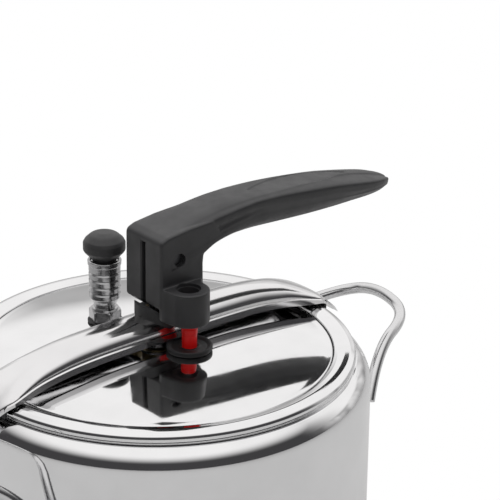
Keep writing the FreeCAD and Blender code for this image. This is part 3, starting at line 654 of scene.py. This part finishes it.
# ----------------------------------------------------------------- valve
def make_valve():
    """Regulating valve: knob, ringed cylinder and hexagon stem."""
    lathe("valve_cap", [
        (0.0, 36.0), (6.2, 36.0), (6.2, 42.6), (7.3, 42.9, 0.6), (10.7, 46.6, 0.8),
        (11.3, 47.6, 0.9), (11.3, 51.5, 0.9), (10.4, 53.2, 1.6), (7.4, 56.0, 5.0),
        (3.6, 57.3, 6.0), (0.0, 57.5),
    ], KNOB, "valve_knob", ("valve_knob",), at=VALVE_AT, turns=128, longest=1.5)
    outer, groove_half, groove_depth = 8.5, 0.75, 0.55
    wall = [(STEM_RADIUS, 17.1), (6.5, 17.1, 0.3), (7.4, 19.0, 0.8), (outer, 20.6, 0.9)]
    for level in (23.6, 27.4, 31.2, 35.0):
        wall += [(outer, level - groove_half), (outer - groove_depth, level),
                 (outer, level + groove_half)]
    wall += [(outer, 38.7), (8.95, 39.3, 0.3), (9.05, 41.4, 0.6), (8.4, 42.0, 0.3),
             (7.7, 41.7, 0.3), (7.5, 40.4, 0.2), (6.4, 39.4), (6.4, 21.4),
             (STEM_RADIUS, 21.4)]
    lathe("valve_cylinder", wall, VALVE_STEEL, "lid", ("valve_body",),
          at=VALVE_AT, turns=128, longest=3.0, sharp=math.radians(20))
    make_valve_hexagon()
    lathe("valve_washer", [
        (5.8, 6.25), (9.4, 6.25, 0.3), (9.4, 7.2, 0.3), (5.8, 7.2),
    ], RUBBER, "lid", ("valve_seal",), at=VALVE_AT, turns=96)
    low, high, travel = 26.3, 35.6, 3.0
    coil = helix("valve_coil", VALVE_AT, 4.4, 0.6, low, high, 5, "lid", "valve_spring")
    press_upwards(coil)


def make_valve_hexagon():
    """Hexagon with chamfered corners, on a round neck and thread."""
    sides, turn, flat_half = 96, math.radians(12), 7.7
    levels = [          # height, whether it is hexagonal, radius
        (-4.0, False, 5.0), (7.2, False, 5.0), (7.2, True, 8.1), (7.9, True, 8.8),
        (12.8, True, 8.8), (13.4, True, 8.1), (13.4, False, 7.2), (14.4, False, 6.9),
        (14.8, False, STEM_RADIUS), (20.8, False, STEM_RADIUS),
    ]
    rings = []
    for height, hexagonal, radius in levels:
        ring = []
        for step in range(sides):
            angle = 2 * math.pi * step / sides
            flat = flat_half / math.cos((angle % (math.pi / 3)) - math.pi / 6)
            reach = min(radius, flat) if hexagonal else radius
            ring.append((VALVE_AT[0] + reach * math.cos(angle + turn),
                         VALVE_AT[1] + reach * math.sin(angle + turn), height))
        rings.append(ring)
    vertices, faces = loft_mesh(rings)
    mesh_piece("valve_hexagon", vertices, faces, VALVE_STEEL, "lid", ("valve_stem",),
               sharp=math.radians(22))


# ----------------------------------------------------------------- lever
GRIP_STATIONS = (
    # along; flat top: half width, height at edge, extra at middle; petal: half width, height;
    # crease: half width, height; foot: half width, height; underside height
    (-2.0, 13.6, 68.2, 0.2, 15.0, 62.0, 15.25, 56.0, 15.25, 50.0, 48.0),
    (16.0, 12.2, 71.2, 0.6, 15.0, 66.0, 15.25, 61.0, 15.0, 53.0, 50.0),
    (27.0, 11.6, 72.6, 0.8, 14.9, 68.0, 15.2, 63.0, 15.0, 58.0, 55.5),
    (40.0, 11.2, 73.9, 0.9, 14.7, 69.5, 14.8, 65.2, 14.0, 60.2, 57.0),
    (50.0, 11.1, 74.4, 0.7, 14.3, 70.2, 14.1, 66.2, 12.9, 60.5, 56.8),
    (58.0, 11.0, 74.6, 0.5, 13.9, 70.5, 13.2, 66.6, 12.0, 60.3, 56.3),
    (75.0, 10.8, 74.2, 0.2, 13.9, 69.4, 12.6, 64.8, 10.8, 59.4, 54.9),
    (95.0, 9.2, 73.0, 0.3, 14.0, 67.2, 12.7, 62.9, 10.6, 58.2, 53.9),
    (115.0, 6.2, 71.2, 0.4, 13.5, 65.0, 12.2, 61.0, 9.8, 57.0, 53.3),
    (130.0, 3.6, 68.8, 0.4, 12.8, 62.8, 11.4, 59.6, 9.0, 56.4, 53.2),
    (142.0, 3.2, 66.2, 0.3, 11.8, 61.2, 10.8, 58.6, 8.6, 56.1, 53.2),
    (150.0, 3.6, 64.2, 0.3, 10.2, 60.4, 9.4, 58.2, 7.6, 56.0, 53.5),
    (155.5, 3.4, 62.4, 0.3, 8.0, 59.6, 7.4, 57.8, 6.0, 56.2, 54.0),
    (159.2, 2.6, 60.6, 0.3, 5.4, 58.8, 5.0, 57.4, 4.0, 56.3, 54.7),
    (161.2, 1.2, 58.6, 0.2, 2.4, 57.8, 2.2, 57.2, 1.8, 56.6, 55.8),
)


def grip_ring(x):
    """Closed section of the grip across X."""
    (top_half, top, middle, petal_half, petal, crease_half, crease, foot_half, foot,
     under) = along(GRIP_STATIONS, x)
    half = [(0.0, top + middle), (top_half * 0.5, top + middle * 0.85),
            (top_half * 0.86, top + middle * 0.2), (top_half, top - 0.5),
            (petal_half * 0.97, (top + petal) / 2 + 0.6), (petal_half, petal),
            (petal_half * 0.96, (petal + crease) / 2), (crease_half, crease),
            (crease_half * 0.985, crease - 0.9), ((crease_half + foot_half) / 2 + 0.3,
                                                 (crease + foot) / 2),
            (foot_half, foot), (foot_half * 0.72, (foot + under) / 2 + (under - foot) * 0.25),
            (foot_half * 0.36, under + 0.15), (0.0, under)]
    fine = chord_curve(half, 4)
    right = [(x, -y, z) for y, z in fine]
    left = [(x, y, z) for y, z in fine[-2:0:-1]]
    return right + left


def chord_curve(points, steps):
    """Smooth curve through a few points, by Catmull-Rom spans."""
    result = []
    for index in range(len(points) - 1):
        before = points[max(0, index - 1)]
        start, end = points[index], points[index + 1]
        after = points[min(len(points) - 1, index + 2)]
        for step in range(steps):
            share = step / steps
            result.append(tuple(
                hermite(start[k], end[k], (end[k] - before[k]) / 2, (after[k] - start[k]) / 2,
                        share) for k in (0, 1)))
    result.append(points[-1])
    return result


def raw_object(name, vertices, faces):
    """A plain closed mesh that later steps consume."""
    obj = new_object(name, vertices, faces)
    bm = bmesh.new()
    bm.from_mesh(obj.data)
    bmesh.ops.recalc_face_normals(bm, faces=bm.faces)
    bm.to_mesh(obj.data)
    bm.free()
    return obj


def shrunk(outline, inset):
    """Outline whose points have moved towards their middle."""
    centre = Vector((sum(p[0] for p in outline) / len(outline),
                     sum(p[1] for p in outline) / len(outline)))
    result = []
    for point in outline:
        here = Vector(point)
        inward = (centre - here).normalized() * inset
        result.append((here.x + inward.x, here.y + inward.y))
    return result


def prism(name, outline, half, edge=0.0):
    """Extrude an XZ outline across Y, with its side edges rounded by steps."""
    levels = [(-half, edge), (-half + edge * 0.3, edge * 0.3), (-half + edge, 0.0),
              (half - edge, 0.0), (half - edge * 0.3, edge * 0.3), (half, edge)]
    if edge == 0.0:
        levels = [(-half, 0.0), (half, 0.0)]
    rings = [[(x, across, z) for x, z in shrunk(outline, inset)] for across, inset in levels]
    return raw_object(name, *loft_mesh(rings))


def upright(name, outline, low, high, edge=0.0):
    """Extrude an XY outline upwards, with its end edges cut off at a slant."""
    levels = [(low, edge), (low + edge, 0.0), (high - edge, 0.0), (high, edge)]
    if edge == 0.0:
        levels = [(low, 0.0), (high, 0.0)]
    rings = [[(x, y, height) for x, y in shrunk(outline, inset)] for height, inset in levels]
    return raw_object(name, *loft_mesh(rings))


def circle(x, y, radius, turns=48):
    """Points of a circle about a place in the plane of an outline."""
    return [(x + radius * math.cos(2 * math.pi * k / turns),
             y + radius * math.sin(2 * math.pi * k / turns)) for k in range(turns)]


def make_lever():
    """Moulded lever: block, boss and grip run together, then slot and holes are cut."""
    start, tip, count = GRIP_STATIONS[0][0], GRIP_STATIONS[-1][0], 150
    rings = [grip_ring(start + (tip - start) * (1 - (1 - k / count) ** 1.5))
             for k in range(count + 1)]          # closer together towards the tip
    grip = raw_object("grip", *loft_mesh(rings))
    block = prism("block", rounded([
        (5.0, 24.5), (19.0, 24.5, 1.0), (19.0, 49.0), (19.6, 54.0, 3.0), (24.0, 60.0, 4.0),
        (31.0, 63.0), (26.0, 71.0), (10.0, 70.2, 6.0), (-4.0, 68.4, 5.0), (-9.0, 66.4, 3.0),
        (-9.0, 29.6, 1.0), (-2.8, 24.5, 1.2), (4.9, 24.5),
    ]), 15.25, 1.3)
    x, y = BOSS_AT
    arc = [math.radians(184 + 7 * k) for k in range(27)]
    boss = upright("boss", [(x - 12.3, -14.6), (x - 12.0, -17.0), (x - 11.4, -20.0)]
                   + [(x + 11.0 * math.cos(a), y + 11.0 * math.sin(a)) for a in arc]
                   + [(x + 11.9, -18.6), (x + 13.6, -15.6), (x + 14.0, -12.0),
                      (x - 11.8, -12.0)], 22.6, 41.0, 0.6)
    lip = upright("lip", circle(x, y, 8.6), 22.3, 26.0, 0.4)
    lever = melt("lever_body", [grip, block, boss, lip])
    past, pin_end = 20.0, 13.2
    pivot, sink = circle(*PIVOT_AT, 3.25), circle(*PIVOT_AT, 3.7)
    cutters = [
        prism("slot", [(-40.0, 10.0), (10.0, 10.0), (10.0, 63.4), (-40.0, 63.4)], 2.3),
        upright("boss_bore", circle(x, y, 6.5), 10.0, 48.0),
        crosswise("pivot_bore", pivot, -past, past),
        crosswise("pivot_sink_front", sink, -past, -pin_end),
        crosswise("pivot_sink_back", sink, pin_end, past),
    ]
    for cutter in cutters:
        carve(lever, cutter)
    sink_panel(lever)
    tidy_mesh(lever, math.radians(40))
    register(lever, PHENOLIC, "lever", ("lever_handle",))


def sink_panel(lever):
    """Lower a blank lens-shaped panel slightly into the top of the grip."""
    start, stop, half, depth, edge = 60.0, 131.0, 8.2, 0.55, 0.7
    for vertex in lever.data.vertices:
        x, y, z = vertex.co.x / MM, vertex.co.y / MM, vertex.co.z / MM - RIM
        if not start < x < stop or z < along(GRIP_STATIONS, x)[1] - 1.2:
            continue
        width = half * math.sin(math.pi * (x - start) / (stop - start)) ** 0.8
        inside = min(1.0, max(0.0, (width - abs(y)) / edge))
        vertex.co.z -= depth * MM * inside * inside * (3 - 2 * inside)


def crosswise(name, outline, start, stop):
    """Extrude an XZ outline between two places across Y."""
    rings = [[(x, start, z) for x, z in outline], [(x, stop, z) for x, z in outline]]
    return raw_object(name, *loft_mesh(rings))


def melt(name, parts):
    """Join overlapping closed meshes into one skin with softened edges."""
    joined = bpy.data.objects.new(name, bpy.data.meshes.new(name))
    bpy.context.scene.collection.objects.link(joined)
    bm = bmesh.new()
    for part in parts:
        bm.from_mesh(part.data)
    bm.to_mesh(joined.data)
    bm.free()
    for part in parts:
        bpy.data.objects.remove(part)
    remesh = joined.modifiers.new("skin", "REMESH")
    remesh.mode = "VOXEL"
    remesh.voxel_size = 0.52 * MM
    soften = joined.modifiers.new("soften", "SMOOTH")
    soften.factor, soften.iterations = 0.5, 3
    bake_modifiers(joined)
    return joined


def pierce(piece, material, holes, low, high, sharp):
    """Cut round upright holes, each an x, a y and a radius, through a finished piece."""
    for x, y, radius in holes:
        carve(piece, upright("hole", circle(x, y, radius, 96), low, high))
    piece.data.materials.clear()
    piece.data.materials.append(material)
    tidy_mesh(piece, sharp)


def bake_modifiers(obj):
    """Replace an object's mesh by what its modifiers make of it."""
    graph = bpy.context.evaluated_depsgraph_get()
    graph.update()
    mesh = bpy.data.meshes.new_from_object(obj.evaluated_get(graph))
    obj.modifiers.clear()
    obj.data = mesh


def carve(target, cutter):
    """Cut one closed mesh out of another."""
    cut = target.modifiers.new("cut", "BOOLEAN")
    cut.operation, cut.solver, cut.object = "DIFFERENCE", "EXACT", cutter
    bake_modifiers(target)
    bpy.data.objects.remove(cutter)


# ----------------------------------------------------------------- CAD pieces that stay
KEPT = {
    "base_core": ALUMINIUM, "bridge_foot_right": RUBBER, "bridge_foot_left": RUBBER,
    "guide_bush": SHADE_DARK_BRASS, "bush_circlip": SPRING, "saddle_collar": KNOB, "tie_rod": SATIN,
    "tie_rod_seal": RUBBER, "tie_rod_nut": SATIN, "pin_cage": SATIN, "pin_retainer": SPRING,
    "valve_nut": SATIN, "valve_needle": SATIN, "pivot_pin": DARK_STEEL, "fork_liner": PHENOLIC,
    "lock_sleeve": PHENOLIC,
}


def dress_kept_nodes():
    """Give every CAD piece that stays its procedural material."""
    for name, material in KEPT.items():
        slots = NODES[name].material_slots
        if not slots:
            NODES[name].data.materials.append(material)
        for slot in slots:
            slot.material = material


make_camera()
make_studio()
make_pot()
make_loops()
make_lid()
make_arch()
make_indicator()
make_valve()
make_lever()
dress_kept_nodes()
